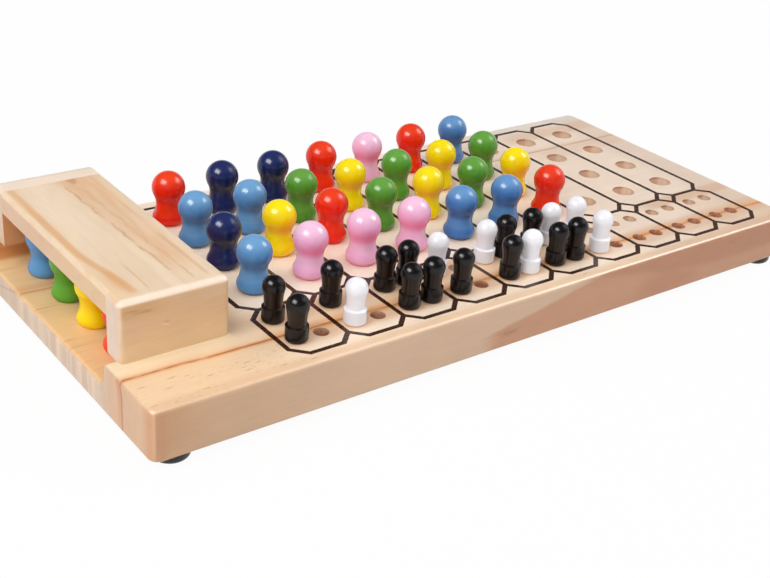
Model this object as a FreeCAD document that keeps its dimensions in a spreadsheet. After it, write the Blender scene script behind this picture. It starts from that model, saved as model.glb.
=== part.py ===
import FreeCAD
import Part
import math
import os

import Sketcher

# Wooden code-breaking game. Millimetres, +Z up. The origin is on the table under the middle of the
# board, X runs along the board from the hidden code to the last guess row, Y runs to the back.

ROWS = 10
PLACES = 4

SIZES = {
    # holes for the code pegs
    "code_hole_radius": 5.0,
    "code_hole_depth": 8.5,
    "code_hole_pitch": 22.5,
    # holes for the key pegs, measured from the front left corner of their field
    "key_hole_radius": 3.0,
    "key_hole_depth": 8.5,
    "key_hole_left": 6.25,
    "key_hole_front": 10.25,
    "key_hole_pitch_across": 10.5,
    "key_hole_pitch_back": 15.75,
    # trough for the hidden code, open at the left end of the board
    "trough_front": 35.75,
    "trough_front_margin": 18.65,
    "trough_back_margin": 16.35,
    "trough_end_margin": 22.3,
    "trough_corner_radius": 5.0,
    "trough_lip_radius": 1.8,
    "hidden_hole_left": 16.2,
    "hidden_hole_floor": 2.25,
    "hidden_hole_front": "=trough_front + trough_front_margin",
    "trough_width": "=trough_front_margin + 3 * code_hole_pitch + trough_back_margin",
    "trough_length": "=hidden_hole_left + trough_end_margin",
    # printed rows
    "row_pitch": 25.0,
    "row_front_margin": 6.9,
    "row_back_margin": 7.2,
    "row_end_margin": 14.3,
    "trough_to_rows": 20.2,
    "key_field_margin": 8.9,
    "code_field_margin": 14.75,
    "key_field_depth": "=key_hole_front + key_hole_pitch_back + key_field_margin",
    "code_field_depth": "=3 * code_hole_pitch + 2 * code_field_margin",
    "first_row_start": "=trough_length + trough_to_rows",
    "first_code_hole_left": "=first_row_start + row_pitch / 2",
    "first_code_hole_front": "=row_front_margin + key_field_depth + code_field_margin",
    "first_key_hole_left": "=first_row_start + key_hole_left",
    "first_key_hole_front": "=row_front_margin + key_hole_front",
    # board
    "board_thickness": 20.0,
    "board_corner_radius": 4.0,
    "board_arris_radius": 1.8,
    "board_length": "=first_row_start + %d * row_pitch + row_end_margin" % ROWS,
    "board_width": "=row_front_margin + key_field_depth + code_field_depth + row_back_margin",
    "trough_floor": "=code_hole_depth + hidden_hole_floor",
    "trough_depth": "=board_thickness - trough_floor",
    "trough_open_top": "=board_thickness + 1",
    # pegs in their holes
    "peg_clearance": 0.3,
    "peg_end_gap": 1.0,
    "peg_edge_chamfer": 0.5,
    # code peg
    "code_peg_height": 22.2,
    "code_peg_head_radius": 6.85,
    "code_peg_waist_radius": 5.2,
    "code_peg_base_bulge": 1.3,
    "code_peg_base_middle": 2.6,
    "code_peg_seat_width": 0.35,
    "code_peg_shank_radius": "=code_hole_radius - peg_clearance",
    "code_peg_shank_length": "=code_hole_depth - peg_end_gap",
    "code_peg_seat_radius": "=code_hole_radius + code_peg_seat_width",
    "code_peg_base_round": "=(code_peg_base_bulge^2 + code_peg_base_middle^2) / (2 * code_peg_base_bulge)",
    # key peg
    "key_peg_height": 18.0,
    "key_peg_head_radius": 4.3,
    "key_peg_neck_radius": 3.45,
    "key_peg_neck_top": 7.0,
    "key_peg_collar_height": 5.8,
    "key_peg_collar_rounding": 1.0,
    "key_peg_seat_width": 0.3,
    "key_peg_shank_radius": "=key_hole_radius - peg_clearance",
    "key_peg_shank_length": "=key_hole_depth - peg_end_gap",
    "key_peg_seat_radius": "=key_hole_radius + key_peg_seat_width",
    "key_peg_collar_radius": "=key_peg_seat_radius + key_peg_collar_rounding",
    # cover over the hidden code
    "cover_left": 4.65,
    "cover_side_seat": 4.3,
    "cover_end_seat": 7.95,
    "cover_headroom": 1.45,
    "cover_wall": 9.8,
    "cover_top_thickness": 8.6,
    "cover_long_arris_radius": 2.4,
    "cover_short_arris_radius": 2.2,
    "cover_front": "=trough_front - cover_side_seat",
    "cover_width": "=trough_width + 2 * cover_side_seat",
    "cover_length": "=trough_length + cover_end_seat - cover_left",
    "cover_ceiling": "=code_peg_height - trough_depth + cover_headroom",
    "cover_height": "=cover_ceiling + cover_top_thickness",
    "cover_inner_width": "=cover_width - 2 * cover_wall",
    # rubber feet
    "foot_radius": 7.0,
    "foot_height": 3.5,
    "foot_edge_radius": 2.0,
    "foot_from_end": 10.5,
    "foot_from_side": 8.0,
    "foot_pitch_along": "=board_length - 2 * foot_from_end",
    "foot_pitch_back": "=board_width - 2 * foot_from_side",
    "board_top": "=foot_height + board_thickness",
}

# Colours of the code pegs in each guess row, from the key holes to the back of the board.
CODE_ROWS = [
    ["light_blue", "navy", "light_blue", "red"],
    ["pink", "yellow", "light_blue", "navy"],
    ["pink", "red", "green", "navy"],
    ["pink", "green", "yellow", "red"],
    ["blue", "yellow", "green", "pink"],
    ["blue", "green", "yellow", "red"],
    ["red", "yellow", "green", "blue"],
]
HIDDEN_CODE = ["red", "yellow", "green", "blue"]

# Key pegs in each row: place 1 is front left, 2 front right, 3 back left, 4 back right.
KEY_ROWS = [
    {1: "black", 3: "black"},
    {1: "white", 3: "black"},
    {1: "black", 2: "black", 3: "black", 4: "black"},
    {1: "black", 3: "white"},
    {1: "black", 2: "white", 3: "white", 4: "black"},
    {1: "black", 2: "black", 3: "black", 4: "white"},
    {1: "white", 3: "white"},
]

LEFT = "-Sizes.board_length / 2 + "
FRONT = "-Sizes.board_width / 2 + "

doc = FreeCAD.newDocument("CodeBreakingGame")
sheet = doc.addObject("Spreadsheet::Sheet", "Sizes")
for line, alias in enumerate(SIZES, start=1):
    sheet.set("A%d" % line, alias)
    sheet.setAlias("B%d" % line, alias)
for line, size in enumerate(SIZES.values(), start=1):
    sheet.set("B%d" % line, str(size))
doc.recompute()

nodes = []


def value(alias):
    """A size from the sheet as a number."""
    return float(getattr(sheet, alias))


def new_body(label, x, y, z):
    """A body whose place follows three expressions."""
    body = doc.addObject("PartDesign::Body", label)
    body.Label = label
    body.setExpression(".Placement.Base.x", x)
    body.setExpression(".Placement.Base.y", y)
    body.setExpression(".Placement.Base.z", z)
    nodes.append(body)
    return body


def new_sketch(body, role, name, height=None):
    """A sketch on one of the body's own planes, raised by the size height where one is given."""
    plane = [item for item in body.Origin.OriginFeatures if item.Role == role][0]
    sketch = body.newObject("Sketcher::SketchObject", name)
    sketch.AttachmentSupport = [(plane, "")]
    sketch.MapMode = "FlatFace"
    if height is not None:
        sketch.setExpression(".AttachmentOffset.Base.z", "Sizes." + height)
    return sketch


def point(x, y):
    return FreeCAD.Vector(x, y, 0)


def add_lines(sketch, corners, guide=False):
    """A chain of straight edges through the corners."""
    for start, end in zip(corners, corners[1:]):
        sketch.addGeometry(Part.LineSegment(start, end), guide)


def arc_between(centre, radius, start, end):
    """The arc that runs anticlockwise from start to end."""
    first = math.atan2(start.y - centre.y, start.x - centre.x)
    last = math.atan2(end.y - centre.y, end.x - centre.x)
    if last <= first:
        last += 2 * math.pi
    full = Part.Circle(centre, FreeCAD.Vector(0, 0, 1), radius)
    return Part.ArcOfCircle(full, first, last)


def constrain(sketch, constraints):
    for constraint in constraints:
        sketch.addConstraint(Sketcher.Constraint(*constraint))


def dimension(sketch, kind, arguments, alias):
    """A dimension that takes its value from the sheet."""
    index = sketch.addConstraint(Sketcher.Constraint(kind, *arguments, value(alias)))
    sketch.setExpression("Constraints[%d]" % index, "Sizes." + alias)


def rectangle(sketch, width, depth):
    """A rectangle from the sketch's origin."""
    right = value(width)
    back = value(depth)
    add_lines(sketch, [point(0, 0), point(right, 0), point(right, back), point(0, back), point(0, 0)])
    constrain(sketch, [("Coincident", edge, 2, (edge + 1) % 4, 1) for edge in range(4)])
    constrain(sketch, [("Horizontal", 0), ("Vertical", 1), ("Horizontal", 2), ("Vertical", 3),
                       ("Coincident", 0, 1, -1, 1)])
    dimension(sketch, "DistanceX", (0, 1, 0, 2), width)
    dimension(sketch, "DistanceY", (1, 1, 1, 2), depth)


def circle(sketch, across, back, radius):
    middle = point(value(across), value(back))
    sketch.addGeometry(Part.Circle(middle, FreeCAD.Vector(0, 0, 1), value(radius)))
    dimension(sketch, "Radius", (0,), radius)
    dimension(sketch, "DistanceX", (-1, 1, 0, 3), across)
    dimension(sketch, "DistanceY", (-1, 1, 0, 3), back)


def extrude(body, kind, sketch, name, length, flip=False):
    """A pad or a pocket of the sketch, its length a size from the sheet."""
    before = body.Tip.Shape.Volume if body.Tip else 0
    feature = body.newObject("PartDesign::" + kind, name)
    feature.Profile = sketch
    feature.Length = value(length)
    feature.Reversed = flip
    feature.setExpression("Length", "Sizes." + length)
    sketch.Visibility = False
    doc.recompute()
    change = feature.Shape.Volume - before
    if (change > 0) != (kind == "Pad"):
        raise RuntimeError(name + " goes the wrong way")
    return feature


def repeat(body, feature, sketch, steps):
    """Repeat a feature along the sketch's axes: steps hold a name, an axis, a pitch and a count."""
    multi = body.newObject("PartDesign::MultiTransform", feature.Name + "_pattern")
    multi.Originals = [feature]
    patterns = []
    for name, axis, pitch, count in steps:
        pattern = body.newObject("PartDesign::LinearPattern", name)
        pattern.Direction = (sketch, [axis])
        pattern.Mode = "Spacing"
        pattern.Occurrences = count
        pattern.Offset = value(pitch)
        pattern.setExpression("Offset", "Sizes." + pitch)
        patterns.append(pattern)
    multi.Transformations = patterns
    body.Tip = multi
    doc.recompute()


def round_edges(body, feature, name, test, radius):
    """Round the feature's edges whose bounding boxes pass the test."""
    edges = ["Edge%d" % number for number, edge in enumerate(feature.Shape.Edges, start=1)
             if test(edge.BoundBox)]
    rounded = body.newObject("PartDesign::Fillet", name)
    rounded.Base = (feature, edges)
    rounded.Radius = value(radius)
    rounded.setExpression("Radius", "Sizes." + radius)
    doc.recompute()
    return rounded


def revolve(body, sketch, name):
    feature = body.newObject("PartDesign::Revolution", name)
    feature.Profile = sketch
    feature.ReferenceAxis = (sketch, ["V_Axis"])
    feature.Angle = 360
    sketch.Visibility = False
    doc.recompute()
    return feature


def near(first, second):
    return abs(first - second) < 1e-4


# The board: it stands on the feet, with its front left corner at the body's own origin.

def trough_section(sketch):
    """End view of the trough: open at the top, with rounded bottom corners."""
    top = value("trough_open_top")
    floor = value("trough_floor")
    front = value("trough_front")
    back = front + value("trough_width")
    radius = value("trough_corner_radius")
    bend = floor + radius
    add_lines(sketch, [point(front, top), point(front, bend)])
    add_lines(sketch, [point(front + radius, floor), point(back - radius, floor)])
    add_lines(sketch, [point(back, bend), point(back, top), point(front, top)])
    sketch.addGeometry(arc_between(point(front + radius, bend), radius, point(front, bend),
                                   point(front + radius, floor)))
    sketch.addGeometry(arc_between(point(back - radius, bend), radius, point(back - radius, floor),
                                   point(back, bend)))
    constrain(sketch, [("Tangent", 0, 2, 4, 1), ("Tangent", 4, 2, 1, 1), ("Tangent", 1, 2, 5, 1),
                       ("Tangent", 5, 2, 2, 1), ("Coincident", 2, 2, 3, 1), ("Coincident", 3, 2, 0, 1),
                       ("Vertical", 0), ("Horizontal", 1), ("Vertical", 2), ("Horizontal", 3),
                       ("Equal", 4, 5)])
    dimension(sketch, "DistanceX", (-1, 1, 0, 1), "trough_front")
    dimension(sketch, "DistanceX", (3, 2, 3, 1), "trough_width")
    dimension(sketch, "DistanceY", (-1, 1, 1, 1), "trough_floor")
    dimension(sketch, "DistanceY", (-1, 1, 3, 1), "trough_open_top")
    dimension(sketch, "Radius", (4,), "trough_corner_radius")


def make_board():
    body = new_body("game_board", LEFT + "0", FRONT + "0", "Sizes.foot_height")
    outline = new_sketch(body, "XY_Plane", "board_outline")
    rectangle(outline, "board_length", "board_width")
    plank = extrude(body, "Pad", outline, "board_plank", "board_thickness")
    corners = round_edges(body, plank, "board_corners",
                          lambda box: box.ZLength > 1e-3, "board_corner_radius")
    round_edges(body, corners, "board_arrises", lambda box: box.ZLength < 1e-4, "board_arris_radius")

    section = new_sketch(body, "YZ_Plane", "trough_section")
    trough_section(section)
    trough = extrude(body, "Pocket", section, "trough", "trough_length", True)
    floor = value("trough_floor")
    round_edges(body, trough, "trough_lip",
                lambda box: near(box.ZMin, floor) and near(box.ZMax, floor) and near(box.XMax, 0),
                "trough_lip_radius")

    code = new_sketch(body, "XY_Plane", "code_hole", "board_thickness")
    circle(code, "first_code_hole_left", "first_code_hole_front", "code_hole_radius")
    hole = extrude(body, "Pocket", code, "code_holes", "code_hole_depth")
    repeat(body, hole, code, [("code_hole_rows", "H_Axis", "row_pitch", ROWS),
                              ("code_hole_places", "V_Axis", "code_hole_pitch", PLACES)])

    key = new_sketch(body, "XY_Plane", "key_hole", "board_thickness")
    circle(key, "first_key_hole_left", "first_key_hole_front", "key_hole_radius")
    hole = extrude(body, "Pocket", key, "key_holes", "key_hole_depth")
    repeat(body, hole, key, [("key_hole_rows", "H_Axis", "row_pitch", ROWS),
                             ("key_hole_across", "H_Axis", "key_hole_pitch_across", 2),
                             ("key_hole_back", "V_Axis", "key_hole_pitch_back", 2)])

    hidden = new_sketch(body, "XY_Plane", "hidden_hole", "trough_floor")
    circle(hidden, "hidden_hole_left", "hidden_hole_front", "code_hole_radius")
    hole = extrude(body, "Pocket", hidden, "hidden_holes", "code_hole_depth")
    repeat(body, hole, hidden, [("hidden_hole_places", "V_Axis", "code_hole_pitch", PLACES)])


# The feet: four rubber pads with a rounded lower edge.

def make_feet():
    body = new_body("rubber_feet", LEFT + "Sizes.foot_from_end", FRONT + "Sizes.foot_from_side", "0")
    sketch = new_sketch(body, "XZ_Plane", "foot_profile")
    radius = value("foot_radius")
    height = value("foot_height")
    edge = value("foot_edge_radius")
    add_lines(sketch, [point(0, height), point(0, 0), point(radius - edge, 0)])
    add_lines(sketch, [point(radius, edge), point(radius, height), point(0, height)])
    sketch.addGeometry(arc_between(point(radius - edge, edge), edge, point(radius - edge, 0),
                                   point(radius, edge)))
    constrain(sketch, [("Coincident", 0, 2, 1, 1), ("Coincident", 0, 2, -1, 1), ("Tangent", 1, 2, 4, 1),
                       ("Tangent", 4, 2, 2, 1), ("Coincident", 2, 2, 3, 1), ("Coincident", 3, 2, 0, 1),
                       ("Vertical", 0), ("Horizontal", 1), ("Vertical", 2), ("Horizontal", 3)])
    dimension(sketch, "DistanceX", (-1, 1, 2, 2), "foot_radius")
    dimension(sketch, "DistanceY", (-1, 1, 2, 2), "foot_height")
    dimension(sketch, "Radius", (4,), "foot_edge_radius")
    foot = revolve(body, sketch, "foot")
    plan = new_sketch(body, "XY_Plane", "foot_plan")
    plan.addGeometry(Part.Point(point(0, 0)), True)
    constrain(plan, [("Coincident", 0, 1, -1, 1)])
    plan.Visibility = False
    repeat(body, foot, plan, [("feet_along", "H_Axis", "foot_pitch_along", 2),
                              ("feet_back", "V_Axis", "foot_pitch_back", 2)])


# The cover: its front and back wall stand the full height, its end wall stands under the top panel.

def cover_section(sketch, base):
    """End view of a wall or of the top panel: a rectangle with both top corners rounded.

    base is the size that its lower edge stands at, or None for a piece that stands on the board.
    """
    bottom = value(base) if base else 0
    top = value("cover_height")
    length = value("cover_length")
    radius = value("cover_long_arris_radius")
    bend = top - radius
    add_lines(sketch, [point(0, bend), point(0, bottom), point(length, bottom), point(length, bend)])
    add_lines(sketch, [point(length - radius, top), point(radius, top)])
    sketch.addGeometry(arc_between(point(length - radius, bend), radius, point(length, bend),
                                   point(length - radius, top)))
    sketch.addGeometry(arc_between(point(radius, bend), radius, point(radius, top), point(0, bend)))
    constrain(sketch, [("Coincident", 0, 2, 1, 1), ("Coincident", 1, 2, 2, 1), ("Tangent", 2, 2, 4, 1),
                       ("Tangent", 4, 2, 3, 1), ("Tangent", 3, 2, 5, 1), ("Tangent", 5, 2, 0, 1),
                       ("Vertical", 0), ("Horizontal", 1), ("Vertical", 2), ("Horizontal", 3),
                       ("Equal", 4, 5)])
    if base:
        constrain(sketch, [("PointOnObject", 1, 1, -2)])
        dimension(sketch, "DistanceY", (-1, 1, 1, 1), base)
    else:
        constrain(sketch, [("Coincident", 1, 1, -1, 1)])
    dimension(sketch, "DistanceX", (1, 1, 1, 2), "cover_length")
    dimension(sketch, "DistanceY", (-1, 1, 3, 1), "cover_height")
    dimension(sketch, "Radius", (4,), "cover_long_arris_radius")


def make_wall(label, y, outer_at_front):
    """Front or back wall, with the edges of its outer face rounded down to the board."""
    body = new_body(label, LEFT + "Sizes.cover_left", y, "Sizes.board_top")
    section = new_sketch(body, "XZ_Plane", label + "_section")
    cover_section(section, None)
    block = extrude(body, "Pad", section, label + "_block", "cover_wall", True)
    outer = 0 if outer_at_front else value("cover_wall")
    round_edges(body, block, label + "_arrises",
                lambda box: near(box.YMin, outer) and near(box.YMax, outer) and box.ZMax > 1e-4,
                "cover_short_arris_radius")


def make_cover():
    front = FRONT + "Sizes.cover_front"
    inside = front + " + Sizes.cover_wall"
    make_wall("cover_front_wall", front, True)
    make_wall("cover_back_wall", front + " + Sizes.cover_width - Sizes.cover_wall", False)

    body = new_body("cover_end_wall", LEFT + "Sizes.cover_left + Sizes.cover_length - Sizes.cover_wall",
                    inside, "Sizes.board_top")
    outline = new_sketch(body, "XY_Plane", "cover_end_wall_outline")
    rectangle(outline, "cover_wall", "cover_inner_width")
    extrude(body, "Pad", outline, "cover_end_wall_block", "cover_ceiling")

    body = new_body("cover_top_panel", LEFT + "Sizes.cover_left", inside, "Sizes.board_top")
    section = new_sketch(body, "XZ_Plane", "cover_top_panel_section")
    cover_section(section, "cover_ceiling")
    extrude(body, "Pad", section, "cover_top_panel_block", "cover_inner_width", True)


# The pegs: turned parts that stand on the board with a shank in the hole below.

def shank(sketch, kind):
    """Edges 0 to 3 of a peg's half section: end, bevel and side of the shank, and the seat."""
    radius = value(kind + "_shank_radius")
    length = value(kind + "_shank_length")
    bevel = value("peg_edge_chamfer")
    add_lines(sketch, [point(0, -length), point(radius - bevel, -length), point(radius, bevel - length),
                       point(radius, 0), point(value(kind + "_seat_radius"), 0)])
    constrain(sketch, [("Coincident", edge, 2, edge + 1, 1) for edge in range(3)])
    constrain(sketch, [("PointOnObject", 0, 1, -2), ("Horizontal", 0), ("Vertical", 2),
                       ("PointOnObject", 2, 2, -1), ("PointOnObject", 3, 2, -1)])
    dimension(sketch, "DistanceX", (-1, 1, 2, 2), kind + "_shank_radius")
    dimension(sketch, "DistanceX", (-1, 1, 3, 2), kind + "_seat_radius")
    dimension(sketch, "DistanceY", (0, 1, -1, 1), kind + "_shank_length")
    dimension(sketch, "DistanceX", (0, 2, 1, 2), "peg_edge_chamfer")
    dimension(sketch, "DistanceY", (0, 2, 1, 2), "peg_edge_chamfer")


def waist_arc(base_centre, base, head_centre, head, waist):
    """The hollow arc that touches the base arc, the head and the waist line: radius and centre."""
    def rise(hollow):
        upper = (hollow + head) ** 2 - (hollow + waist) ** 2
        lower = (hollow + base) ** 2 - (hollow + waist - base_centre.x) ** 2
        return math.sqrt(upper), math.sqrt(lower)

    low, high = 0.0, 1000.0
    for _ in range(100):
        hollow = (low + high) / 2
        if sum(rise(hollow)) < head_centre.y - base_centre.y:
            low = hollow
        else:
            high = hollow
    return hollow, point(waist + hollow, head_centre.y - rise(hollow)[0])


def code_peg_profile(sketch):
    """Half section of a code peg: a bulging base, a hollow waist and a ball head."""
    shank(sketch, "code_peg")
    head = value("code_peg_head_radius")
    waist = value("code_peg_waist_radius")
    base = value("code_peg_base_round")
    seat = point(value("code_peg_seat_radius"), 0)
    top = point(0, value("code_peg_height"))
    end = point(0, -value("code_peg_shank_length"))
    head_centre = point(0, top.y - head)
    base_centre = point(seat.x + value("code_peg_base_bulge") - base, value("code_peg_base_middle"))
    hollow, waist_centre = waist_arc(base_centre, base, head_centre, head, waist)
    lower = base_centre + (waist_centre - base_centre) * (base / (base + hollow))
    upper = head_centre + (waist_centre - head_centre) * (head / (head + hollow))
    sketch.addGeometry(arc_between(base_centre, base, seat, lower))
    sketch.addGeometry(arc_between(waist_centre, hollow, upper, lower))
    sketch.addGeometry(arc_between(head_centre, head, upper, top))
    add_lines(sketch, [top, end])
    add_lines(sketch, [point(waist, 0), point(waist, top.y)], True)
    constrain(sketch, [("Coincident", 3, 2, 4, 1), ("Tangent", 4, 2, 5, 2), ("Tangent", 5, 1, 6, 1),
                       ("Coincident", 6, 2, 7, 1), ("Coincident", 7, 2, 0, 1), ("Vertical", 7),
                       ("PointOnObject", 6, 3, -2), ("Vertical", 8), ("Tangent", 5, 8),
                       ("PointOnObject", 8, 1, -1), ("Horizontal", 8, 2, 6, 2)])
    dimension(sketch, "DistanceY", (-1, 1, 4, 3), "code_peg_base_middle")
    dimension(sketch, "Radius", (4,), "code_peg_base_round")
    dimension(sketch, "DistanceX", (-1, 1, 8, 1), "code_peg_waist_radius")
    dimension(sketch, "Radius", (6,), "code_peg_head_radius")
    dimension(sketch, "DistanceY", (-1, 1, 7, 1), "code_peg_height")


def key_peg_profile(sketch):
    """Half section of a key peg: a straight collar, a thinner neck and a ball head."""
    shank(sketch, "key_peg")
    seat = value("key_peg_seat_radius")
    collar = value("key_peg_collar_radius")
    rounding = value("key_peg_collar_rounding")
    step = value("key_peg_collar_height")
    neck = value("key_peg_neck_radius")
    neck_top = value("key_peg_neck_top")
    head = value("key_peg_head_radius")
    bevel = value("peg_edge_chamfer")
    top = point(0, value("key_peg_height"))
    end = point(0, -value("key_peg_shank_length"))
    head_centre = point(0, top.y - head)
    rise = head_centre.y - neck_top
    hollow = (neck ** 2 + rise ** 2 - head ** 2) / (2 * (head - neck))
    hollow_centre = point(neck + hollow, neck_top)
    meet = head_centre + (hollow_centre - head_centre) * (head / (head + hollow))
    sketch.addGeometry(arc_between(point(seat, rounding), rounding, point(seat, 0),
                                   point(collar, rounding)))
    add_lines(sketch, [point(collar, rounding), point(collar, step), point(neck, step + bevel),
                       point(neck, neck_top)])
    sketch.addGeometry(arc_between(hollow_centre, hollow, meet, point(neck, neck_top)))
    sketch.addGeometry(arc_between(head_centre, head, meet, top))
    add_lines(sketch, [top, end])
    constrain(sketch, [("Tangent", 3, 2, 4, 1), ("Tangent", 4, 2, 5, 1), ("Coincident", 5, 2, 6, 1),
                       ("Coincident", 6, 2, 7, 1), ("Tangent", 7, 2, 8, 2), ("Tangent", 8, 1, 9, 1),
                       ("Coincident", 9, 2, 10, 1), ("Coincident", 10, 2, 0, 1), ("Vertical", 5),
                       ("Vertical", 7), ("Vertical", 10), ("PointOnObject", 9, 3, -2)])
    dimension(sketch, "DistanceX", (-1, 1, 5, 2), "key_peg_collar_radius")
    dimension(sketch, "DistanceY", (-1, 1, 5, 2), "key_peg_collar_height")
    dimension(sketch, "DistanceY", (6, 1, 6, 2), "peg_edge_chamfer")
    dimension(sketch, "DistanceX", (-1, 1, 7, 1), "key_peg_neck_radius")
    dimension(sketch, "DistanceY", (-1, 1, 7, 2), "key_peg_neck_top")
    dimension(sketch, "Radius", (9,), "key_peg_head_radius")
    dimension(sketch, "DistanceY", (-1, 1, 10, 1), "key_peg_height")


def make_peg(label, profile, x, y, z):
    body = new_body(label, x, y, z)
    sketch = new_sketch(body, "XZ_Plane", label + "_profile")
    profile(sketch)
    revolve(body, sketch, label + "_turned")


def make_pegs():
    for row, colours in enumerate(CODE_ROWS):
        for place, colour in enumerate(colours):
            make_peg("code_peg_row%d_place%d_%s" % (row + 1, place + 1, colour), code_peg_profile,
                     LEFT + "Sizes.first_code_hole_left + Sizes.row_pitch * %d" % row,
                     FRONT + "Sizes.first_code_hole_front + Sizes.code_hole_pitch * %d" % place,
                     "Sizes.board_top")
    for place, colour in enumerate(HIDDEN_CODE):
        make_peg("hidden_code_peg_place%d_%s" % (place + 1, colour), code_peg_profile,
                 LEFT + "Sizes.hidden_hole_left",
                 FRONT + "Sizes.hidden_hole_front + Sizes.code_hole_pitch * %d" % place,
                 "Sizes.foot_height + Sizes.trough_floor")
    for row, places in enumerate(KEY_ROWS):
        for place, colour in places.items():
            back, across = divmod(place - 1, 2)
            make_peg("key_peg_row%d_place%d_%s" % (row + 1, place, colour), key_peg_profile,
                     LEFT + "Sizes.first_key_hole_left + Sizes.row_pitch * %d" % row
                     + " + Sizes.key_hole_pitch_across * %d" % across,
                     FRONT + "Sizes.first_key_hole_front + Sizes.key_hole_pitch_back * %d" % back,
                     "Sizes.board_top")


make_board()
make_feet()
make_cover()
make_pegs()
doc.recompute()

for item in doc.Objects:
    if "Invalid" in item.State or "Error" in item.State:
        raise RuntimeError(item.Label + " is " + ", ".join(item.State))
for body in nodes:
    solids = 4 if body.Label == "rubber_feet" else 1
    if not body.Shape.isValid() or len(body.Shape.Solids) != solids:
        raise RuntimeError(body.Label + " is not sound")

os.makedirs("parts", exist_ok=True)
for body in nodes:
    body.Shape.exportStep("parts/%s.step" % body.Label)
    print("%-40s %9.1f mm3" % (body.Label, body.Shape.Volume))
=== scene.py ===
"""Looks of a wooden code-breaking game: lacquered pine board and cover, gloss painted pegs.

The CAD pieces only get materials here; the script adds lamps, background, floor and camera.
Lengths in the materials are millimetres in the CAD model's frame: X along the board from the hidden
code to the last row, Y from the key holes to the back, Z up from the table. Colours are given as
8-bit screen colours, shares from 0 to 1."""
import math

import bpy
from mathutils import Matrix, Vector

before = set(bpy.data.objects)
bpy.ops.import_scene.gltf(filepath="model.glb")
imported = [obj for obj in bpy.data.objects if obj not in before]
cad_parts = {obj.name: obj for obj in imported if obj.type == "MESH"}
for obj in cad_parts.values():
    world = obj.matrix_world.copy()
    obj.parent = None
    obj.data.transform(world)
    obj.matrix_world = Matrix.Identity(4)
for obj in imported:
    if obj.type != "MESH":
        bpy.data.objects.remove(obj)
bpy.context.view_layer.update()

# Where the shapes of the CAD model lie that the materials follow. The cover stands over the trough,
# with the same middle along Y.
BOARD_TOP, TROUGH_FLOOR = 23.5, 14.25
COVER_LEFT, COVER_MIDDLE = -156.85, 14.0
FIRST_ROW, ROW_PITCH, LAST_ROW = -102.8, 25.0, 9.0
HALF_ROW = ROW_PITCH / 2.0

# Printed fields: middle and half width along Y of the key fields' and the code fields' columns, and
# how far their corners are cut back.
FIELDS = ((-48.65, 17.45), (17.3, 48.5))
CORNER_CUT = 5.47

# The board's grain is turned a little from X, by this much Y per X. GROWTH_LINE is where the long
# growth line crosses the Y axis.
GRAIN_TILT = 0.0172
GROWTH_LINE = -53.2

# Painted shade round the seated pegs: X and Y of the first peg, pitch along Y, last row and last
# place counted from 0, the two radii between which the shade fades out, and its share.
SEATED = (
    (-90.3, -16.45, 22.5, 6.0, 3.0, 5.0, 10.6, 0.32),
    (-96.55, -55.85, 15.75, 6.0, 1.0, 4.0, 7.0, 0.22),
    (-86.05, -55.85, 15.75, 5.0, 1.0, 4.0, 7.0, 0.12),
)

# Tan bands along the right half of the board: middle and half width along Y, start and share.
TAN_BANDS = ((-55.5, 4.0, 62.0, 0.5), (-34.0, 2.0, 96.0, 0.7), (57.5, 3.0, 92.0, 0.45),
             (34.0, 3.0, 92.0, 0.3))

# Thin lines on the trough's floor: Y, how far they reach along X, and share.
TROUGH_LINES = ((34.6, -142.0, 0.7), (20.6, -149.0, 0.45), (56.4, -150.0, 0.3),
                (-5.4, -152.0, 0.35), (-11.2, -149.0, 0.3), (-22.0, -152.0, 0.2))

# Clear flecks on the top of the board: middle and half size of each, along X and Y.
FLECKS = (
    (-157.0, -57.2, 2.4, 0.34), (-146.0, -56.6, 2.6, 0.34), (-149.5, -61.8, 2.2, 0.34),
    (-141.0, -57.8, 1.6, 0.298), (-134.0, -61.4, 2.0, 0.34), (-119.5, -60.6, 2.4, 0.425),
    (-116.0, -61.8, 1.6, 0.34), (-121.0, -64.6, 2.0, 0.298), (-109.5, -68.2, 2.4, 0.34),
    (-139.0, -68.0, 2.4, 0.34), (-158.5, -69.0, 2.0, 0.298), (-98.0, -69.6, 2.2, 0.298),
    (-14.0, -68.6, 2.0, 0.255), (33.0, -69.2, 2.4, 0.255), (106.0, 57.4, 1.4, 0.34),
    (112.5, 55.2, 1.2, 0.298), (137.5, -38.6, 2.4, 0.51), (140.5, -40.6, 1.8, 0.425),
    (112.0, -37.4, 2.0, 0.34), (98.0, -42.6, 1.6, 0.34),
)

# Where each kind of peg is seated, and the heights above its seat between which its paint changes:
# painted shade under the head, painted light on the flare and on the crown of a code peg.
SEATS = {"code": BOARD_TOP, "hidden": TROUGH_FLOOR, "key": BOARD_TOP}
SHADE_HEIGHTS = {"code": (8.0, 11.6, 12.0, 18.0), "hidden": (5.6, 9.2, 12.0, 18.0),
           "key": (4.4, 7.0, 9.4, 13.0)}
FLARE, CROWN = (4.2, 5.8, 7.4, 10.6), (16.8, 20.4)


def srgb(red, green, blue):
    """The linear colour of an 8-bit screen colour."""
    def linear(level):
        level /= 255.0
        return level / 12.92 if level <= 0.04045 else ((level + 0.055) / 1.055) ** 2.4
    return (linear(red), linear(green), linear(blue), 1.0)


class Value:
    """A number that varies over the surface; arithmetic on it makes math nodes."""

    def __init__(self, tree, socket):
        self.tree, self.socket = tree, socket

    def __add__(self, other): return self.tree.math("ADD", self, other)
    def __sub__(self, other): return self.tree.math("SUBTRACT", self, other)
    def __rsub__(self, other): return self.tree.math("SUBTRACT", other, self)
    def __mul__(self, other): return self.tree.math("MULTIPLY", self, other)
    def __truediv__(self, other): return self.tree.math("DIVIDE", self, other)
    def __abs__(self): return self.tree.math("ABSOLUTE", self)


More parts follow.
